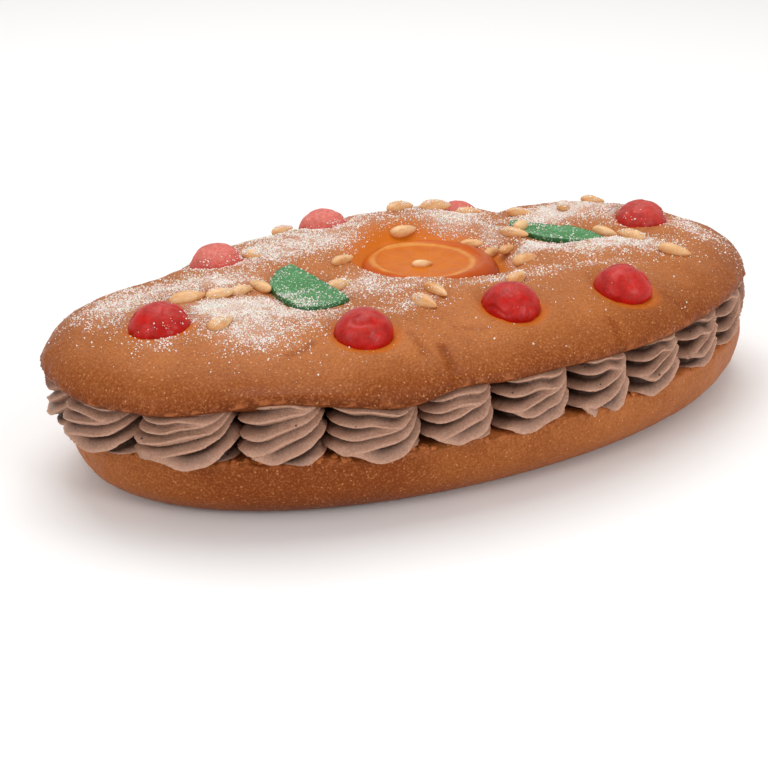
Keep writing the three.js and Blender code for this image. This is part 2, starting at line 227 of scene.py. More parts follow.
def even_steps(points, step):
    """The same open line through [radius, height] points, with a point every step."""
    points = np.array(points, float)
    run = np.concatenate([[0], np.cumsum(np.hypot(*np.diff(points, axis=0).T))])
    count = max(2, int(run[-1] / step) + 1)
    at = np.linspace(0, run[-1], count)
    return np.column_stack([np.interp(at, run, points[:, 0]), np.interp(at, run, points[:, 1])])


def spun(profile, segments):
    """A profile of [radius, height] pairs, spun about Z to a closed form."""
    form = bmesh.new()
    corners = [form.verts.new((radius, 0, height)) for radius, height in profile]
    edges = [form.edges.new(pair) for pair in zip(corners, corners[1:])]
    bmesh.ops.spin(
        form, geom=corners + edges, axis=(0, 0, 1), cent=(0, 0, 0), steps=segments,
        angle=2 * math.pi, use_merge=True, use_normal_flip=False, use_duplicate=False,
    )
    bmesh.ops.remove_doubles(form, verts=form.verts, dist=1e-4)
    bmesh.ops.recalc_face_normals(form, faces=form.faces)
    return form


def places(form):
    return np.array([v.co for v in form.verts])


def move_to(form, points):
    for vert, point in zip(form.verts, points):
        vert.co = point


def finish_piece(name, form, material, nodes, smooth=True, marks=None):
    """The form becomes an object in metres that rides on the body and stands for its nodes."""
    mesh = bpy.data.meshes.new(name)
    if isinstance(form, bmesh.types.BMesh):
        bmesh.ops.recalc_face_normals(form, faces=form.faces)
        form.to_mesh(mesh)
        form.free()
    else:
        mesh.from_pydata(*form)
    mesh.transform(Matrix.Scale(MM, 4))
    for key, values in (marks or {}).items():
        mark = mesh.attributes.new(key, "FLOAT", "POINT")
        mark.data.foreach_set("value", np.asarray(values, np.float32))
    mesh.polygons.foreach_set("use_smooth", [smooth] * len(mesh.polygons))
    mesh.materials.append(material)
    piece = bpy.data.objects.new(name, mesh)
    bpy.context.scene.collection.objects.link(piece)
    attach(piece, "root")
    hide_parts(*nodes)
    return piece


def colour(code):
    """An sRGB hex colour as linear red, green, blue and alpha."""
    parts = [int(code[i:i + 2], 16) / 255 for i in (1, 3, 5)]
    return tuple(p / 12.92 if p <= 0.04045 else ((p + 0.055) / 1.055) ** 2.4 for p in parts) + (1,)


def new_material(name):
    material = bpy.data.materials.new(name)
    material.use_nodes = True
    material.node_tree.nodes.clear()
    return material, material.node_tree


NOISE, CELLS, RAMP = "ShaderNodeTexNoise", "ShaderNodeTexVoronoi", "ShaderNodeValToRGB"
MATH, MIX, BUMP = "ShaderNodeMath", "ShaderNodeMix", "ShaderNodeBump"


def add(tree, kind, settings=None, links=None, stops=()):
    """Adds one node: its properties and socket values, what is linked into it, a ramp's stops.
    A hex colour turns linear, and a linked node gives its first output that is in use."""
    node = tree.nodes.new(kind)
    for key, value in (settings or {}).items():
        if isinstance(value, str) and value.startswith("#"):
            value = colour(value)
        if isinstance(key, str) and hasattr(node, key):
            setattr(node, key, value)
        else:
            node.inputs[key].default_value = value
    for key, source in (links or {}).items():
        if isinstance(source, bpy.types.Node):
            source = next(socket for socket in source.outputs if socket.enabled)
        tree.links.new(source, node.inputs[key])
    for _ in stops[2:]:
        node.color_ramp.elements.new(0.5)
    for number, (position, value) in enumerate(stops):
        element = node.color_ramp.elements[number]
        element.position = position
        element.color = colour(value) if isinstance(value, str) else (value,) * 3 + (1,)
    return node


def marked(tree, key):
    """What a piece's own points say, such as how far the crust is baked."""
    return add(tree, "ShaderNodeAttribute", {"attribute_name": key}).outputs["Fac"]


def surface(tree, settings, links):
    shader = add(tree, "ShaderNodeBsdfPrincipled", settings, links)
    add(tree, "ShaderNodeOutputMaterial", links={"Surface": shader})


# The scale of a pattern is 1000 over its real size in millimetres


def baked_crust():
    """Egg-washed baked crust: satin brown with darker oven patches, fine pale blisters and pores,
    orange where fruit syrup has soaked in and white where sugar has settled; painted shade darkens its
    creases, underside and front."""
    material, tree = new_material("baked crust")
    place = add(tree, "ShaderNodeTexCoord").outputs["Object"]
    patches = add(tree, NOISE, {"Scale": 1000 / 26, "Detail": 5, "Roughness": 0.65}, {"Vector": place})
    # The browning mark holds oven browning together with painted shade: darker creases, underside, lower
    # sides and front side
    browned_and_shaded = add(tree, MATH, {"operation": "MULTIPLY_ADD", 1: 0.55}, {0: patches, 2: marked(tree, "browning_and_shade")})
    shifted = add(tree, MATH, {"operation": "SUBTRACT", 1: 0.27}, {0: browned_and_shaded})
    brown = add(tree, RAMP, links={"Fac": shifted}, stops=[
        (0.0, "#ba7039"), (0.35, "#995525"), (0.7, "#7d3b11"), (1.0, "#632a06"),
    ])
    speckle = add(tree, NOISE, {"Scale": 1000 / 0.9, "Detail": 3, "Roughness": 0.7}, {"Vector": place})
    pale = add(tree, RAMP, links={"Fac": speckle}, stops=[(0.5, 0.0), (0.72, 0.5)])
    lighter = add(tree, MIX, {"data_type": "RGBA", 7: "#c98350"}, {0: pale, 6: brown})
    pores = add(tree, RAMP, links={"Fac": speckle}, stops=[(0.3, 0.5), (0.48, 0.0)])
    mottled = add(tree, MIX, {"data_type": "RGBA", 7: "#6b2f0b"}, {0: pores, 6: lighter})
    cells = add(tree, CELLS, {"Scale": 1000 / 2.1, "Randomness": 1.0}, {"Vector": place})
    round_spots = add(tree, RAMP, links={"Fac": cells.outputs["Distance"]}, stops=[(0.12, 0.55), (0.2, 0.0)])
    few = add(tree, RAMP, links={"Fac": cells.outputs["Color"]}, stops=[(0.3, 0.0), (0.5, 1.0)])
    blister = add(tree, MATH, {"operation": "MULTIPLY"}, {0: round_spots, 1: few})
    flecked = add(tree, MIX, {"data_type": "RGBA", 7: "#d99b66"}, {0: blister, 6: mottled})
    stain = add(tree, MATH, {"operation": "MULTIPLY", 1: 0.85}, {0: marked(tree, "syrup")})
    soaked = add(tree, MIX, {"data_type": "RGBA", 7: "#cd6a08"}, {0: stain, 6: flecked})
    crumb = add(tree, MIX, {"data_type": "RGBA", 7: "#b4683a"}, {0: marked(tree, "torn"), 6: soaked})
    sugared = add(tree, MIX, {"data_type": "RGBA", 7: "#f0ded2"}, {0: marked(tree, "dust"), 6: crumb})
    lumps = add(tree, NOISE, {"Scale": 1000 / 2.2, "Detail": 3, "Roughness": 0.55}, {"Vector": place})
    height = add(tree, MATH, {"operation": "MULTIPLY_ADD", 1: 0.4}, {0: blister, 2: lumps})
    raised = add(tree, BUMP, {"Strength": 0.35, "Distance": 0.0004}, {"Height": height})
    gloss = add(tree, MATH, {"operation": "MULTIPLY_ADD", 1: 0.2, 2: 0.38}, {0: speckle})
    surface(tree, {"IOR": 1.45, "Specular IOR Level": 0.14}, {
        "Base Color": sugared, "Roughness": gloss, "Normal": raised,
    })
    return material


def whipped_cream():
    """Whipped chocolate cream: soft satin brown, frothy, with painted shade in its creases, between the
    rosettes and in its small air pits.
    """
    material, tree = new_material("whipped chocolate cream")
    place = add(tree, "ShaderNodeTexCoord").outputs["Object"]
    clouds = add(tree, NOISE, {"Scale": 1000 / 9, "Detail": 3, "Roughness": 0.5}, {"Vector": place})
    tone = add(tree, MIX, {"data_type": "RGBA", 6: "#bf9078", 7: "#a57860"}, {0: clouds})
    froth = add(tree, NOISE, {"Scale": 1000 / 0.9, "Detail": 3, "Roughness": 0.6}, {"Vector": place})
    bubbles = add(tree, RAMP, links={"Fac": froth}, stops=[(0.35, 0.0), (0.7, 0.45)])
    frothy = add(tree, MIX, {"data_type": "RGBA", 7: "#dab39c"}, {0: bubbles, 6: tone})
    # Painted shade in the creases and in the gaps between the rosettes
    shade = add(tree, MATH, {"operation": "POWER", 1: 1.2}, {0: marked(tree, "painted_crease_shade")})
    depth = add(tree, MATH, {"operation": "MULTIPLY", 1: 0.95}, {0: shade})
    deep = add(tree, MIX, {"data_type": "RGBA", 7: "#362016"}, {0: depth, 6: frothy})
    cells = add(tree, CELLS, {"Scale": 1000 / 5, "Randomness": 1.0}, {"Vector": place})
    round_spots = add(tree, RAMP, links={"Fac": cells.outputs["Distance"]}, stops=[(0.07, 1.0), (0.12, 0.0)])
    few = add(tree, RAMP, links={"Fac": cells.outputs["Color"]}, stops=[(0.35, 0.0), (0.5, 1.0)])
    pit = add(tree, MATH, {"operation": "MULTIPLY"}, {0: round_spots, 1: few})
    # Painted shade in the small air pits
    dark = add(tree, MATH, {"operation": "MULTIPLY", 1: 0.8}, {0: pit})
    pits_shaded = add(tree, MIX, {"data_type": "RGBA", 7: "#3e271d"}, {0: dark, 6: deep})
    height = add(tree, MATH, {"operation": "MULTIPLY_ADD", 1: -1.6}, {0: pit, 2: froth})
    raised = add(tree, BUMP, {"Strength": 0.75, "Distance": 0.0003}, {"Height": height})
    surface(tree, {"Roughness": 0.5, "IOR": 1.45, "Specular IOR Level": 0.35}, {
        "Base Color": pits_shaded, "Normal": raised,
    })
    return material


def candied_cherry():
    """Glacé cherry: deep red flesh that lets a little light in, paler on top from settled sugar and a painted
    sheen, and a fine wrinkled skin that breaks up its shine."""
    material, tree = new_material("glacé cherry")
    place = add(tree, "ShaderNodeTexCoord").outputs["Object"]
    clouds = add(tree, NOISE, {"Scale": 1000 / 5, "Detail": 4, "Roughness": 0.6}, {"Vector": place})
    ripe = add(tree, RAMP, links={"Fac": clouds}, stops=[(0.35, 0.0), (0.65, 1.0)])
    flesh = add(tree, MIX, {"data_type": "RGBA", 6: "#9e0400", 7: "#c01007"}, {0: ripe})
    crystals = add(tree, NOISE, {"Scale": 1000 / 1.4, "Detail": 4, "Roughness": 0.7}, {"Vector": place})
    patchy = add(tree, RAMP, links={"Fac": crystals}, stops=[(0.3, 0.35), (0.65, 1.0)])
    # Paler on top: settled sugar, plus a painted sheen where the overhead lamp would shine
    frost_and_sheen = add(tree, MATH, {"operation": "MULTIPLY"}, {0: marked(tree, "sugar_and_sheen"), 1: patchy})
    frosted_and_sheened = add(tree, MIX, {"data_type": "RGBA", 7: "#e08a7c"}, {0: frost_and_sheen, 6: flesh})
    wrinkles = add(tree, NOISE, {"Scale": 1000 / 1.3, "Detail": 3, "Roughness": 0.6}, {"Vector": place})
    raised = add(tree, BUMP, {"Strength": 0.6, "Distance": 0.0004}, {"Height": wrinkles})
    dull = add(tree, MATH, {"operation": "MULTIPLY_ADD", 1: 0.6, 2: 0.27}, {0: frost_and_sheen})
    surface(tree, {
        "IOR": 1.46, "Subsurface Weight": 0.04, "Subsurface Radius": (1.0, 0.05, 0.02),
        "Subsurface Scale": 0.002, "Specular IOR Level": 0.25,
    }, {"Base Color": frosted_and_sheened, "Roughness": dull, "Normal": raised})
    return material


def candied_peel():
    """Candied melon peel: clear satin green, darker at its cut edges, specked with sugar."""
    material, tree = new_material("candied green peel")
    place = add(tree, "ShaderNodeTexCoord").outputs["Object"]
    clouds = add(tree, NOISE, {"Scale": 1000 / 7, "Detail": 4, "Roughness": 0.6}, {"Vector": place})
    flesh = add(tree, MIX, {"data_type": "RGBA", 6: "#1f6b30", 7: "#3f8a44"}, {0: clouds})
    rimmed = add(tree, MIX, {"data_type": "RGBA", 7: "#1c5528"}, {0: marked(tree, "edge"), 6: flesh})
    crystals = add(tree, NOISE, {"Scale": 1000 / 1.1, "Detail": 2, "Roughness": 0.5}, {"Vector": place})
    specks = add(tree, RAMP, links={"Fac": crystals}, stops=[(0.58, 0.0), (0.66, 0.6)])
    sugared = add(tree, MIX, {"data_type": "RGBA", 7: "#c9dcc2"}, {0: specks, 6: rimmed})
    ripples = add(tree, NOISE, {"Scale": 1000 / 1.8, "Detail": 3, "Roughness": 0.6}, {"Vector": place})
    raised = add(tree, BUMP, {"Strength": 0.4, "Distance": 0.0004}, {"Height": ripples})
    surface(tree, {
        "Roughness": 0.35, "IOR": 1.46, "Subsurface Weight": 0.2, "Subsurface Radius": (0.3, 1, 0.3),
        "Subsurface Scale": 0.002,
    }, {"Base Color": sugared, "Normal": raised})
    return material


def candied_orange():
    """Candied orange slice: syrupy flesh, a pale ring of pith and deep orange rind."""
    material, tree = new_material("candied orange")
    place = add(tree, "ShaderNodeTexCoord").outputs["Object"]
    zones = add(tree, RAMP, links={"Fac": marked(tree, "ring")}, stops=[
        (0.0, "#d4750c"), (0.64, "#cf6a04"), (0.69, "#dc9242"), (0.72, "#dc9242"),
        (0.77, "#c65a00"), (1.0, "#ac3e00"),
    ])
    faint = add(tree, MATH, {"operation": "MULTIPLY", 1: 0.2}, {0: marked(tree, "membrane")})
    streaked = add(tree, MIX, {"data_type": "RGBA", 7: "#dc934a"}, {0: faint, 6: zones})
    clouds = add(tree, NOISE, {"Scale": 1000 / 6, "Detail": 4, "Roughness": 0.6}, {"Vector": place})
    darker = add(tree, RAMP, links={"Fac": clouds}, stops=[(0.35, 0.0), (0.8, 0.5)])
    cloudy = add(tree, MIX, {"data_type": "RGBA", 7: "#b4500e"}, {0: darker, 6: streaked})
    pulp = add(tree, NOISE, {"Scale": 1000 / 3, "Detail": 3, "Roughness": 0.5}, {"Vector": place})
    raised = add(tree, BUMP, {"Strength": 0.3, "Distance": 0.0005}, {"Height": pulp})
    surface(tree, {
        "Roughness": 0.28, "IOR": 1.46, "Subsurface Weight": 0.05, "Specular IOR Level": 0.14,
        "Subsurface Radius": (1.0, 0.4, 0.1), "Subsurface Scale": 0.002,
    }, {"Base Color": cloudy, "Normal": raised})
    return material


def pine_kernel():
    """Pine kernel: smooth ivory, lightly toasted in patches."""
    material, tree = new_material("toasted pine kernel")
    place = add(tree, "ShaderNodeTexCoord").outputs["Object"]
    clouds = add(tree, NOISE, {"Scale": 1000 / 6, "Detail": 3, "Roughness": 0.6}, {"Vector": place})
    patches = add(tree, RAMP, links={"Fac": clouds}, stops=[(0.35, 0.0), (0.75, 0.6)])
    toasted = add(tree, MATH, {"operation": "ADD", "use_clamp": True}, {0: marked(tree, "toast"), 1: patches})
    tone = add(tree, MIX, {"data_type": "RGBA", 6: "#ecc592", 7: "#c9823c"}, {0: toasted})
    skin = add(tree, NOISE, {"Scale": 1000 / 1.5, "Detail": 3, "Roughness": 0.6}, {"Vector": place})
    raised = add(tree, BUMP, {"Strength": 0.3, "Distance": 0.0003}, {"Height": skin})
    surface(tree, {
        "Roughness": 0.42, "IOR": 1.47, "Subsurface Weight": 0.15, "Subsurface Scale": 0.002,
    }, {"Base Color": tone, "Normal": raised})
    return material


def caster_sugar():
    """Coarse white sugar: clear bright grains."""
    material, tree = new_material("coarse sugar")
    place = add(tree, "ShaderNodeTexCoord").outputs["Object"]
    clouds = add(tree, NOISE, {"Scale": 1000 / 2.5, "Detail": 2, "Roughness": 0.5}, {"Vector": place})
    tone = add(tree, MIX, {"data_type": "RGBA", 6: "#fdf4ee", 7: "#ecd9cd"}, {0: clouds})
    surface(tree, {
        "Roughness": 0.3, "IOR": 1.54, "Subsurface Weight": 0.3, "Subsurface Scale": 0.0006,
    }, {"Base Color": tone})
    return material


def sugar_cover(x, y):
    """How thickly sugar lies at a place in plan, from none to 1."""
    total = np.zeros(np.shape(x))
    for px, py, along, across, amount in SUGAR_DRIFTS:
        total = total + amount * bump(np.hypot((x - px) / along, (y - py) / across), 1)
    for cx, cy, *_ in CHERRIES:
        total = total * smoothstep(9, 13, np.hypot(x - cx, y - cy) + 1.5 * np.sign(cy - y))
    wet = np.hypot(x - ORANGE[0] - 1, y - ORANGE[1] + 2)
    return np.clip(total * smoothstep(30, 36, wet), 0, 1)


def bread_top():
    """The upper half: cut face, thin torn lip, full shoulder and pillowed top."""
    widest = 2
    rise = TOP_HEIGHT - widest
    arc = np.linspace(0, 1, 400)
    shares = np.cos(arc * math.pi / 2) ** 0.55
    dome = [[HALF_WIDTH * s, widest + rise * math.sqrt(max(0, 1 - s**3.64))] for s in shares]
    cut = even_steps([[0, 0], [HALF_WIDTH - 8, 0]], 9)
    lip = even_steps([[HALF_WIDTH - 8, 0], [HALF_WIDTH - 1.4, 0.4], [HALF_WIDTH, widest]], 0.9)
    profile = np.vstack([cut, lip[1:-1], even_steps(dome, 1.05)])
    profile[-1, 0] = 0
    form = spun(profile, 480)
    points = places(form)
    x, y, height = points.T
    angle, share = np.arctan2(y, x), np.hypot(x, y) / HALF_WIDTH
    fuller = np.where((height > widest) & (share > 0.01), np.maximum(share, 0.01), 1)
    fuller = fuller ** (0.1 * np.cos(angle))
    px, py = oval_plan(x * fuller, y * fuller)
    px = px + TOP_SHIFT
    lift = lip_lift(angle) * smoothstep(0.9, 0.99, share) * (1 - smoothstep(2, 12, height))
    pillow = relief(px, py) * smoothstep(3, 12, height)
    pz = CUT_HEIGHT + height + lift + pillow
    flat = np.column_stack([px, py, pz])
    near_lip = smoothstep(0.955, 0.99, share) * (1 - smoothstep(1.5, 6, height))
    ragged = grain(flat, 3.2, 1.0, 3)
    swell = grain(flat, 22, 2.0, 2)
    ripple = grain(flat * (1, 1, 0.45), 5.5, 3.0, 2)
    side = 1 - smoothstep(6, 15, height)
    outward = 1 + (0.45 * swell * side + 0.28 * ripple * side + 0.7 * ragged * near_lip) / 90
    flat[:, 0] *= np.where(share > 0.7, outward, 1)
    flat[:, 1] *= np.where(share > 0.7, outward, 1)
    flat[:, 2] += near_lip * 0.5 * ragged
    flat[:, 2] += (0.7 * swell + 0.3 * ripple) * smoothstep(3, 12, height)
    move_to(form, flat)
    # Darker lower down the sides and at the lip, partly oven browning and partly painted shade; the front
    # side near the lip gets painted shade
    browning_and_shade = 0.12 + 0.42 * (1 - smoothstep(7, 18, height)) + 0.3 * (1 - smoothstep(1, 7, height))
    browning_and_shade = browning_and_shade + 0.2 * bump(np.degrees(angle) % 360 - 238, 24) * (1 - smoothstep(2, 12, height))
    # Painted shade in the creases of the crust
    for start, end, depth in CREASES:
        browning_and_shade = browning_and_shade + 0.9 * depth * bump(line_distance(px, py, start, end), 1.6)
    syrup = 1 - smoothstep(30, 39, np.hypot(px - ORANGE[0], py - ORANGE[1]))
    for cx, cy, *_ in CHERRIES:
        near = np.hypot(px - cx, py - cy + 1.5)
        syrup = np.maximum(syrup, 0.8 * (1 - smoothstep(11, 15.5, near)))
    for start, end, depth in CREASES:
        syrup = np.maximum(syrup, 0.22 * depth * bump(line_distance(px, py, start, end), 2))
    syrup = np.where(height > 2, syrup, 0)
    # Painted shade on the cut face underneath the top half, where it rests over the cream
    under = np.where(height < 0.6, 1, 0)
    marks = {
        "browning_and_shade": browning_and_shade + 0.4 * under,
        "syrup": syrup,
        "dust": 0.55 * np.where(height > 6, sugar_cover(px, py), 0) ** 1.3,
        "torn": 0.7 * near_lip * smoothstep(0.1, 0.5, ragged) * (1 - under),
    }
    return form, marks


def bread_base():
    """The lower half: flat underneath, a well-rounded foot, steep sides and a torn cut rim."""
    turn = np.linspace(0, math.pi / 2, 60)
    foot = np.column_stack([
        HALF_WIDTH - FOOT_IN * (1 - np.sin(turn)), FOOT_UP * (1 - np.cos(turn)),
    ])
    floor_part = even_steps([[0, 0], [HALF_WIDTH - FOOT_IN, 0]], 8)
    side = even_steps(np.vstack([foot, [[HALF_WIDTH - 0.3, BASE_HEIGHT - 1.2],
                                        [HALF_WIDTH - 1.6, BASE_HEIGHT]]]), 0.8)
    face = even_steps([[HALF_WIDTH - 1.6, BASE_HEIGHT], [0, BASE_HEIGHT]], 4)
    form = spun(np.vstack([floor_part[:-1], side, face[1:]]), 480)
    points = places(form)
    x, y, z = points.T
    angle, share = np.arctan2(y, x), np.hypot(x, y) / HALF_WIDTH
    px, py = oval_plan(x, y)
    px = px * BASE_FIT[0] + BASE_SHIFT[0]
    py = py * BASE_FIT[1] + BASE_SHIFT[1]
    flat = np.column_stack([px, py, z])
    rim = smoothstep(0.93, 0.975, share) * smoothstep(24.5, 26.6, z)
    ragged = grain(flat, 2.6, 4.0, 3)
    swell = grain(flat, 20, 5.0, 2)
    wrinkle = grain(np.column_stack([px, py, z * 0.12]), 3.0, 6.0, 2)
    upright = smoothstep(1, 6, z) * smoothstep(0.8, 0.9, share)
    outward = 1 + (0.5 * swell * upright + 0.28 * wrinkle * upright + 0.8 * ragged * rim) / 100
    flat[:, 0] = (px - BASE_SHIFT[0]) * outward + BASE_SHIFT[0]
    flat[:, 1] = (py - BASE_SHIFT[1]) * outward + BASE_SHIFT[1]
    flat[:, 2] += rim * 0.7 * ragged
    move_to(form, flat)
    # Darker towards the bottom near the floor and on the front side: painted shade
    browning_and_shade = 0.26 + 0.2 * (1 - smoothstep(0, 12, z)) + 0.5 * bump(np.degrees(angle) % 360 - 232, 26)
    marks = {
        "browning_and_shade": np.where(z > BASE_HEIGHT - 0.2, 0.1, browning_and_shade),
        "syrup": np.zeros(len(z)),
        "dust": np.zeros(len(z)),
        "torn": np.maximum(rim * smoothstep(-0.1, 0.4, ragged), np.where(share < 0.96, 1, 0)
                           * np.where(z > BASE_HEIGHT - 0.3, 0.8, 0)),
    }
    return form, marks


def overhang(angle):
    """How far the edge the rosettes are piped on stands outside the base below it."""
    east, north = np.cos(angle), np.sin(angle)
    longer = HALF_LENGTH * (1 - BASE_FIT[0]) - 0.5
    wider = HALF_WIDTH * (1 - BASE_FIT[1]) + 0.5
    return longer * abs(east) - BASE_SHIFT[0] * east + wider * abs(north) - BASE_SHIFT[1] * north


def ridge_lines(reach, starts, early, apex, merge):
    """Heights of a rosette's ridges: level from its left side, then swept up to meet at the apex
    under the lip; one pair runs together on the way and another has one stem at the left."""
    lines = []
    for number, begin in enumerate(starts):
        late = 5.5 - 0.45 * number
        climb = early * smoothstep(0.1, 0.6, reach) + (1 - early) * np.clip(reach, 0, 1) ** late
        lines.append(begin + (apex - begin) * climb * min(1, 0.3 + 0.3 * number - 0.04 * number**2))
    joined, meeting, forked, parting = merge
    shared = (lines[joined + 1] - lines[joined]) * 0.97 * smoothstep(meeting, meeting + 0.45, reach)
    for number in range(joined + 1, len(lines)):
        lines[number] = lines[number] - shared * 0.5 ** (number - joined - 1)
    shared = (lines[forked + 1] - lines[forked]) * 0.97 * (1 - smoothstep(parting - 0.35, parting, reach))
    for number in range(forked + 1):
        lines[number] = lines[number] + shared * 0.5 ** (forked - number)
    return np.column_stack(lines)


def rosette(index):
    """One piped rosette: a fan of sharp ridges with deep creases between them, level at the left
    and drawn up to a point, where the nozzle came away under the lip. The point is at the right,
    but nearer the middle on the rosettes of the right end, which have fewer and wider ridges."""
    luck = np.random.default_rng(300 + index)
    before = ROSETTE_START + sum(ROSETTE_WIDTHS[:index])
    width = ROSETTE_WIDTHS[index]
    half = width / 2 - CLEARANCE / 2
    tall = CREAM_HIGH.z - CREAM_LOW.z
    outline = [[0, 0], [0.9, 0], [1.01, 0.04], [1.06, 0.12], [1.06, 0.3], [1.04, 0.5], [1.01, 0.7],
               [0.99, 0.85], [0.96, 0.95], [0.88, 1], [0, 1]]
    low = even_steps(outline[:2], 0.14)
    side = even_steps(outline[1:10], 0.019)
    high = even_steps(outline[9:], 0.12)
    form = spun(np.vstack([low[:-1], side, high[1:]]), 190)
    x, y, z = places(form).T
    radius, angle = np.hypot(x, y), np.arctan2(y, x)
    # more of the points go to the outer side, which is the side that shows
    angle = angle - 0.45 * np.sin(angle)
    along, outward = np.sin(angle), np.cos(angle)
    squareness = 2.7 - 0.7 * along
    pressed = (np.abs(along) ** squareness + np.abs(outward) ** squareness) ** (-1 / squareness)
    across = half * pressed * along
    share = (across / half + 1) / 2
    fanned = smoothstep(4, 8, index) * (1 - smoothstep(12, 15, index))
    apex_at = 1 - 0.32 * fanned
    beside = np.sqrt((share - apex_at) ** 2 + 0.004) - 0.02
    reach = 1 - beside / np.where(share < apex_at, apex_at, 1.8 - apex_at)
    spot = np.column_stack([across, z * tall, np.full(len(z), index * 9.0)])
    up = z * tall + 0.7 * grain(spot, 13, 7.0, 2)
    early = luck.uniform(0.12, 0.4)
    starts = luck.uniform(-11, -8) - 7 * fanned + np.cumsum(luck.uniform(3.7, 5.4, 8)) * (1 + 0.3 * fanned)
    merge = (luck.integers(3, 5), luck.uniform(0.3, 0.5), luck.integers(1, 3), luck.uniform(0.4, 0.55))
    lines = ridge_lines(reach, starts, early, tall + 1, merge)
    ahead = ridge_lines(reach + 0.01, starts, early, tall + 1, merge)
    steepness = (ahead - lines) / (0.01 * width * apex_at)
    away = np.abs(up[:, None] - lines) / np.sqrt(1 + steepness**2)
    nearest = np.min(away, axis=1)
    stand = luck.uniform(-0.03, 0.035, len(starts))[np.argmin(away, axis=1)]
    below_all = up < lines[:, 0]
    drop = 1.6 * (np.sqrt(nearest**2 + 0.02) - 0.14)
    drop = np.minimum(drop, np.where(below_all, 3, 4))
    left = smoothstep(0.2, 0.9, -along)
    shown = smoothstep(-0.75, -0.2, outward) * smoothstep(0.45, 0.85, radius)
    spot = np.column_stack([across, up, outward * 12 + index * 31])
    lumps, fine = grain(spot, 5, 8.0, 2), grain(spot, 0.9, 9.0, 2)
    tips = 1 + 0.06 * left
    drawn_in = 1 - 0.05 * smoothstep(0.4, 1, z) * smoothstep(0.3, 1, along)
    relief_depth = (stand * (1 + 1.2 * left) - drop / 16 * (1 + 0.3 * left)) * shown
    ridged = radius * (tips * drawn_in + relief_depth + 0.015 * lumps + 0.014 * fine)
    px, py, at = edge_place(
        before + width / 2 + half * pressed * ridged * along,
        ROSETTE_DEPTH / 2 * (1 - pressed * ridged * outward),
    )
    outer = pressed * ridged * outward
    over_lip = 1.3 * smoothstep(0.965, 1.03, outer)
    ceiling = tall + 0.4 + lip_lift(at) * smoothstep(-0.3, 0.6, outward) + over_lip
    free = smoothstep(0.8, 3.5, overhang(at))
    heavy = 3.4 - 1.2 * np.clip(drop / 3, 0, 1)
    sag = heavy * free * smoothstep(0.8, 1.04, outer) * (1 - z) ** 2
    pz = CREAM_LOW.z + z * ceiling - sag
    move_to(form, np.column_stack([px, py, pz]))
    # Painted shade in the creases, and on the back and sides of each rosette where it meets its neighbours
    crease_shade = np.clip(drop / 3.2, 0, 1) * shown
    return form, {"painted_crease_shade": np.maximum(crease_shade, smoothstep(0.45, -0.1, outward))}


def cream_layer():
    """The cream inside the ring of rosettes, spread from side to side."""
    form = bmesh.new()
    run = np.linspace(0, EDGE_RUN[-1], 160, endpoint=False)
    x, y, _ = edge_place(run, ROSETTE_DEPTH + CLEARANCE)
    rim = [form.verts.new((a, b, CREAM_LOW.z)) for a, b in zip(x, y)]
    floor_face = form.faces.new(rim)
    made = bmesh.ops.extrude_face_region(form, geom=[floor_face])
    raised = [g for g in made["geom"] if isinstance(g, bmesh.types.BMVert)]
    bmesh.ops.translate(form, verts=raised, vec=(0, 0, CREAM_HIGH.z - CREAM_LOW.z))
    walls = [f for f in form.faces if len(f.verts) == 4]
    upright = {e for f in walls for e in f.edges if abs(e.verts[0].co.z - e.verts[1].co.z) > 1}
    bmesh.ops.subdivide_edges(form, edges=list(upright), cuts=5, use_grid_fill=True)
    points = places(form)
    middle = np.abs(points[:, 2] - (CREAM_LOW.z + CREAM_HIGH.z) / 2) < 9
    pinch = 1 + np.where(middle, 0.006 * grain(points, 6, 10.0, 2), 0)
    points[:, 0] *= pinch
    points[:, 1] *= pinch
    move_to(form, points)
    # The whole filling gets painted shade, as it shows only in the dark gaps between the rosettes
    return form, {"painted_crease_shade": np.full(len(points), 0.6)}


def seat(point, normal, turn, sink, lean=1.0):
    """The matrix that sets a piece on the dough, sunk along the surface's own normal."""
    tipped = UP.lerp(normal, lean).normalized()
    tilt = UP.rotation_difference(tipped).to_matrix().to_4x4()
    spin = Matrix.Rotation(math.radians(turn), 4, "Z")
    return Matrix.Translation(point - tipped * sink) @ tilt @ spin


def landing(tree, x, y):
    point, normal, *_ = tree.ray_cast(Vector((x, y, 200)), Vector((0, 0, -1)))
    return point, normal


def cherry(index, matrix, sugared):
    """A candied cherry: squat, lopsided and wrinkled, flattened where it is pressed in."""
    form = bmesh.new()
    bmesh.ops.create_uvsphere(form, u_segments=72, v_segments=48, radius=CHERRY_RADIUS)
    points = places(form)
    angle = np.arctan2(points[:, 1], points[:, 0])
    lopsided = 1 + 0.04 * np.cos(angle) + 0.025 * np.sin(3 * angle)
    shift = index * 40.0
    folds = np.abs(grain(points + shift, 11, 11.0, 1))
    dents = grain(points + shift, 4, 12.0, 2)
    pits = grain(points + shift, 1.6, 13.0, 2)
    out = 1 - 0.045 * (1 - smoothstep(0, 0.13, folds)) + 0.016 * dents + 0.007 * pits
    points[:, 0] *= lopsided * out
    points[:, 1] *= lopsided * 0.95 * out
    points[:, 2] = np.maximum(points[:, 2] * 0.88 * out, -0.45 * CHERRY_RADIUS)
    high = smoothstep(-2, 10, points[:, 2])
    move_to(form, points)
    bmesh.ops.transform(form, matrix=matrix, verts=form.verts)
    # Paler towards the top: sugar settles there, and a painted sheen is added on every top however little
    # sugared
    return form, {"sugar_and_sheen": np.clip(sugared * (0.35 + 0.9 * high) + (0.05 + 0.12 * dents) * high, 0, 1)}


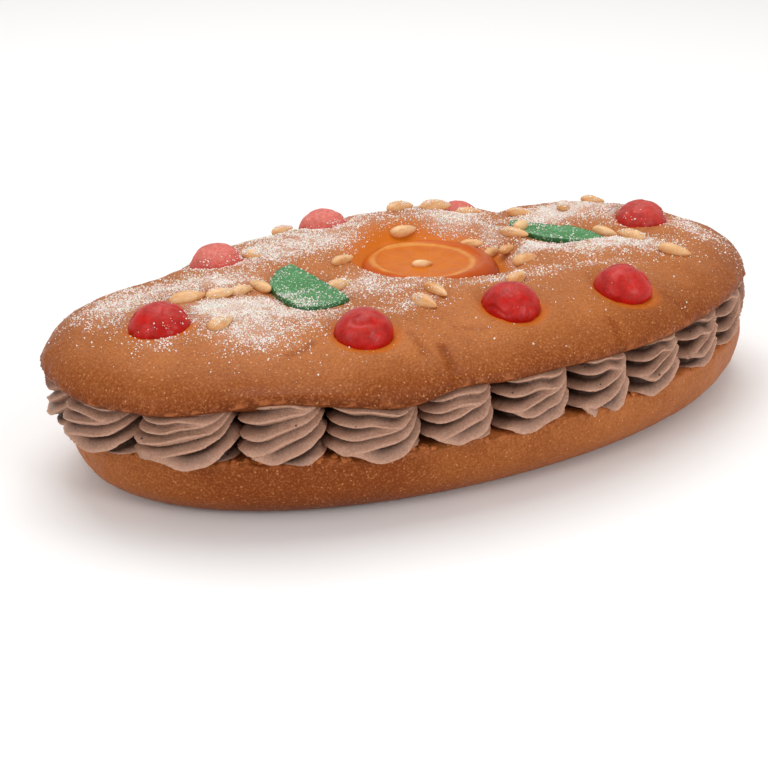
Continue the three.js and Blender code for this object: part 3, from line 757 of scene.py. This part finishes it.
def orange_slice(matrix):
    """A thick candied orange slice: sloping rind, a raised ring of pith, slightly sunk flesh."""
    R = ORANGE_RADIUS
    profile = [[0, 0], [R - 1.5, 0], [R, 1.6], [R - 0.8, 3], [R - 2.6, 4.5], [R - 5, 5.6],
               [R - 6.2, 5.9], [R - 6.9, 5.9], [R - 7.6, 5.3], [R - 10, 4.7], [0, 4.6]]
    form = spun(even_steps(profile, 0.7), 200)
    points = places(form)
    angle, radius = np.arctan2(points[:, 1], points[:, 0]), np.hypot(points[:, 0], points[:, 1])
    wobble = 1 + 0.02 * np.sin(2 * angle + 0.5) + 0.01 * np.cos(5 * angle)
    points[:, 0] *= wobble
    points[:, 1] *= wobble
    on_flesh = np.where(points[:, 2] > 4, 1, 0) * (1 - smoothstep(R - 10, R - 7, radius))
    wedge = np.abs(np.mod(angle / (2 * math.pi) * 10 + 0.3 * grain(points, 20, 14.0, 1), 1) - 0.5) * 2
    line = smoothstep(0.86, 0.97, wedge) * on_flesh * smoothstep(3, 7, radius)
    sag = grain(points, 11, 15.0, 2)
    points[:, 2] += on_flesh * (0.15 * line + 0.5 * sag - 0.5 * bump(radius, 9))
    points[:, 2] += (1 - on_flesh) * smoothstep(3, 5, points[:, 2]) * 0.35 * sag
    move_to(form, points)
    bmesh.ops.transform(form, matrix=matrix, verts=form.verts)
    ring = np.hypot(points[:, 0] + 1.9, points[:, 1] - 2.3) / R + 0.012 * sag
    return form, {"ring": ring, "membrane": line}


def peel(corners, bend, matrix, middle):
    """A piece of candied peel: a thin slab with rounded corners, bent and dished."""
    form = bmesh.new()
    bmesh.ops.create_cube(form, size=2)
    bmesh.ops.subdivide_edges(form, edges=form.edges, cuts=23, use_grid_fill=True)
    points = places(form)
    u = points[:, 0] * np.sqrt(1 - 0.27 * points[:, 1] ** 2)
    v = points[:, 1] * np.sqrt(1 - 0.27 * points[:, 0] ** 2)
    a, b, c, d = [np.array(corner) - middle for corner in corners]
    share_u, share_v = ((u + 1) / 2)[:, None], ((v + 1) / 2)[:, None]
    flat = (a * (1 - share_u) + b * share_u) * (1 - share_v) + (d * (1 - share_u) + c * share_u) * share_v
    sag = bend * (u * u - 0.4 + 0.4 * v * v)
    rim = np.maximum(np.abs(u), np.abs(v))
    thick = points[:, 2] * PEEL_THICKNESS / 2
    rounded = 1 - 0.045 * (np.abs(points[:, 2]) ** 3)
    ripple = grain(np.column_stack([flat, thick]), 8, 16.0, 2)
    z = thick + sag + 0.35 * ripple
    move_to(form, np.column_stack([flat * rounded[:, None] * (1 + 0.02 * ripple[:, None]), z]))
    bmesh.ops.transform(form, matrix=matrix, verts=form.verts)
    side = np.where(np.abs(points[:, 2]) < 0.95, 0.85, 0)
    return form, {"edge": np.maximum(side, 0.5 * smoothstep(0.9, 1, rim))}


def nuts(spots, tree, seed):
    """Pine nuts as they fell: teardrops with the point forward, each a little different."""
    luck = np.random.default_rng(seed)
    form = bmesh.new()
    toast = []
    for x, y, turn, scale in spots:
        made = bmesh.ops.create_uvsphere(form, u_segments=20, v_segments=14, radius=0.5)
        length = 12.8 * luck.uniform(0.92, 1.08) * scale
        width = 5.6 * luck.uniform(0.88, 1.1) * scale
        bow, tan = luck.uniform(-0.5, 0.5), luck.uniform(0, 0.35)
        matrix = seat(*landing(tree, x, y), turn, -0.9 * scale)
        for vert in made["verts"]:
            side, back, forward = vert.co
            taper = 1 - 0.6 * forward - 0.4 * forward**2
            local = Vector((forward * length, side * width * taper + bow * (4 * forward**2 - 0.5),
                            back * width * 0.9 * taper))
            vert.co = matrix @ local
            toast.append(tan + 0.35 * max(0, forward * 2) ** 2)
    return form, {"toast": toast}


def crumbs(tree, count, seed):
    """Small flakes of torn crumb along the cut rim of the lower half."""
    luck = np.random.default_rng(seed)
    form = bmesh.new()
    for number in range(count):
        turn = luck.uniform(0, 2 * math.pi)
        inward = luck.uniform(0.6, 3.5)
        if grain([(30 * math.cos(turn), 30 * math.sin(turn), 0)], 3, 21.0, 2)[0] < -0.15:
            continue
        x = (HALF_LENGTH * BASE_FIT[0] - inward) * math.cos(turn) + BASE_SHIFT[0]
        y = (HALF_WIDTH * BASE_FIT[1] - inward) * math.sin(turn) + BASE_SHIFT[1]
        point, normal = landing(tree, x, y)
        if point is None:
            continue
        size = luck.uniform(0.5, 1.5)
        made = bmesh.ops.create_icosphere(form, subdivisions=1, radius=size)
        matrix = seat(point, normal, math.degrees(luck.uniform(0, 6)), -0.2 * size)
        for vert in made["verts"]:
            rough = luck.uniform(0.6, 1.3)
            vert.co = matrix @ Vector((vert.co.x * rough, vert.co.y * rough, vert.co.z * 0.6 * rough))
    count = len(form.verts)
    return form, {"browning_and_shade": np.full(count, 0.15), "torn": np.full(count, 0.6),
                  "syrup": np.zeros(count), "dust": np.zeros(count)}


def scatter(shape, spots):
    """Many copies of one small form as a single mesh: vertices, edges and faces."""
    corners = places(shape)
    faces = [[v.index for v in f.verts] for f in shape.faces]
    count = len(corners)
    verts = np.vstack([corners @ np.array(m)[:3, :3].T + np.array(m)[:3, 3] for m in spots])
    all_faces = [[i + n * count for i in face] for n in range(len(spots)) for face in faces]
    return verts.tolist(), [], all_faces


def sugar(trees, count, low, high, seed, shape):
    """Grains of sugar where they drifted, each resting on whatever is under it."""
    luck = np.random.default_rng(seed)
    tries = luck.uniform((-HALF_LENGTH, -HALF_WIDTH), (HALF_LENGTH, HALF_WIDTH), (count * 16, 2))
    clump = 0.5 + 0.7 * grain(np.column_stack([tries, np.full(len(tries), seed)]), 5, 20.0, 3)
    kept = luck.random(len(tries)) < sugar_cover(*tries.T) * np.clip(clump, 0.04, 1.6)
    spots = []
    for x, y in tries[kept][:count]:
        hits = [tree.ray_cast(Vector((x, y, 200)), Vector((0, 0, -1))) for tree in trees]
        hits = [hit for hit in hits if hit[0] is not None]
        if not hits:
            continue
        point, normal, *_ = max(hits, key=lambda hit: hit[0].z)
        size = luck.uniform(low, high)
        turn = Matrix.Rotation(luck.uniform(0, math.pi), 4, Vector(luck.normal(size=3)).normalized())
        stretch = Matrix.Diagonal((*(size * luck.uniform(0.7, 1.2, 3)), 1))
        if normal.z > 0.45:
            spots.append(Matrix.Translation(point + normal * size * 0.25) @ turn @ stretch)
    made = scatter(shape, spots)
    shape.free()
    return made


def cubic_grain():
    form = bmesh.new()
    bmesh.ops.create_cube(form, size=1)
    return form


def chipped_grain():
    form = bmesh.new()
    bmesh.ops.create_cone(form, cap_ends=True, segments=3, radius1=0.65, radius2=0, depth=0.9)
    return form


def bvh(form):
    return BVHTree.FromBMesh(form)


# The camera: the photograph's own standpoint
camera_data = bpy.data.cameras.new("camera")
camera_data.lens = 77
camera_data.sensor_width = 36
camera = bpy.data.objects.new("camera", camera_data)
camera.location = (-0.3397, -0.5369, 0.2862)
aim = Vector((-0.0168, 0.0006, 0.0161)) - camera.location
camera.rotation_euler = aim.to_track_quat("-Z", "Y").to_euler()
bpy.context.scene.collection.objects.link(camera)
bpy.context.scene.camera = camera
bpy.context.scene.view_settings.view_transform = "Standard"

crust = baked_crust()
cream = whipped_cream()
red = candied_cherry()
green = candied_peel()
orange = candied_orange()
kernel = pine_kernel()
white = caster_sugar()

top, top_marks = bread_top()
top_tree = bvh(top)
all_trees = [top_tree]

for number, (cx, cy, turn, sunk, sugared) in enumerate(CHERRIES, 1):
    form, marks = cherry(number, seat(*landing(top_tree, cx, cy), turn, sunk - 1.2, 0.8), sugared)
    all_trees.append(bvh(form))
    finish_piece(f"glace_cherry_{number}", form, red, [f"cherry_{number}"], marks=marks)

orange_point, orange_normal = landing(top_tree, ORANGE[0], ORANGE[1] - 2)
slice_form, marks = orange_slice(seat(orange_point, orange_normal, 20, 1.6, 0))
orange_tree = bvh(slice_form)
all_trees.append(orange_tree)
finish_piece("orange_disc", slice_form, orange, ["orange_slice"], marks=marks)

for number, (corners, bend, slope, lift) in enumerate(PEELS, 1):
    middle = np.mean(corners, axis=0)
    normal = Vector((-slope[0], -slope[1], 1)).normalized()
    matrix = seat(landing(top_tree, *middle)[0], normal, 0, -lift)
    form, marks = peel(corners, bend, matrix, middle)
    peel_tree = bvh(form)
    all_trees.append(peel_tree)
    finish_piece(f"peel_piece_{number}", form, green, [f"green_peel_{number}"],
                 marks=marks)

for name, spots, tree, node, slot in (
    ("pine_nuts", NUTS, top_tree, "bread_top", "baked_crust"),
    ("pine_nut_on_orange", [NUT_ON_ORANGE], orange_tree, "orange_slice", "candied_orange"),
    ("pine_nut_on_peel", [NUT_ON_PEEL], peel_tree, "green_peel_2", "candied_green_peel"),
):
    form, marks = nuts(spots, tree, 40)
    all_trees.append(bvh(form))
    finish_piece(name, form, kernel, [node], marks=marks)

finish_piece("sugar_grains", sugar(all_trees, 16000, 0.28, 0.56, 7, cubic_grain()), white,
             ["bread_top"], smooth=False)
finish_piece("sugar_dust", sugar(all_trees, 46000, 0.26, 0.46, 8, chipped_grain()), white,
             ["bread_top"], smooth=False)
finish_piece("crust_top", top, crust, ["bread_top"], marks=top_marks)

base, base_marks = bread_base()
form, marks = crumbs(bvh(base), 900, 12)
finish_piece("torn_crumbs", form, crust, ["bread_base"], smooth=False, marks=marks)
finish_piece("crust_base", base, crust, ["bread_base"], marks=base_marks)

for index in range(len(ROSETTE_WIDTHS)):
    form, marks = rosette(index)
    finish_piece(f"rosette_{index + 1:02d}", form, cream,
                 [f"cream_rosette_{index + 1:02d}"], marks=marks)
form, marks = cream_layer()
finish_piece("cream_filling", form, cream, ["cream_layer"], smooth=False, marks=marks)


def studio():
    """A plain pale floor, a bright even room, a large soft lamp overhead and two in front."""
    world = bpy.data.worlds.new("room")
    world.use_nodes = True
    world.node_tree.nodes["Background"].inputs["Color"].default_value = colour("#ffffff")
    world.node_tree.nodes["Background"].inputs["Strength"].default_value = 0.6
    bpy.context.scene.world = world
    form = bmesh.new()
    bmesh.ops.create_grid(form, x_segments=1, y_segments=1, size=4)
    mesh = bpy.data.meshes.new("floor")
    form.to_mesh(mesh)
    form.free()
    material, tree = new_material("pale floor")
    surface(tree, {"Base Color": "#fbfaf9", "Roughness": 0.9}, {})
    mesh.materials.append(material)
    floor = bpy.data.objects.new("floor", mesh)
    bpy.context.scene.collection.objects.link(floor)
    for name, place, size, power in (
        ("overhead", (0.1, 0.4, 1.4), 1.1, 11),
        ("right", (0.35, -1.35, 0.55), 0.45, 6),
        ("left", (-1.35, -0.45, 0.7), 0.5, 4.5),
    ):
        data = bpy.data.lights.new(name, "AREA")
        data.size = size
        data.energy = power
        lamp = bpy.data.objects.new(name, data)
        lamp.location = place
        lamp.rotation_euler = (-Vector(place)).to_track_quat("-Z", "Y").to_euler()
        bpy.context.scene.collection.objects.link(lamp)


studio()
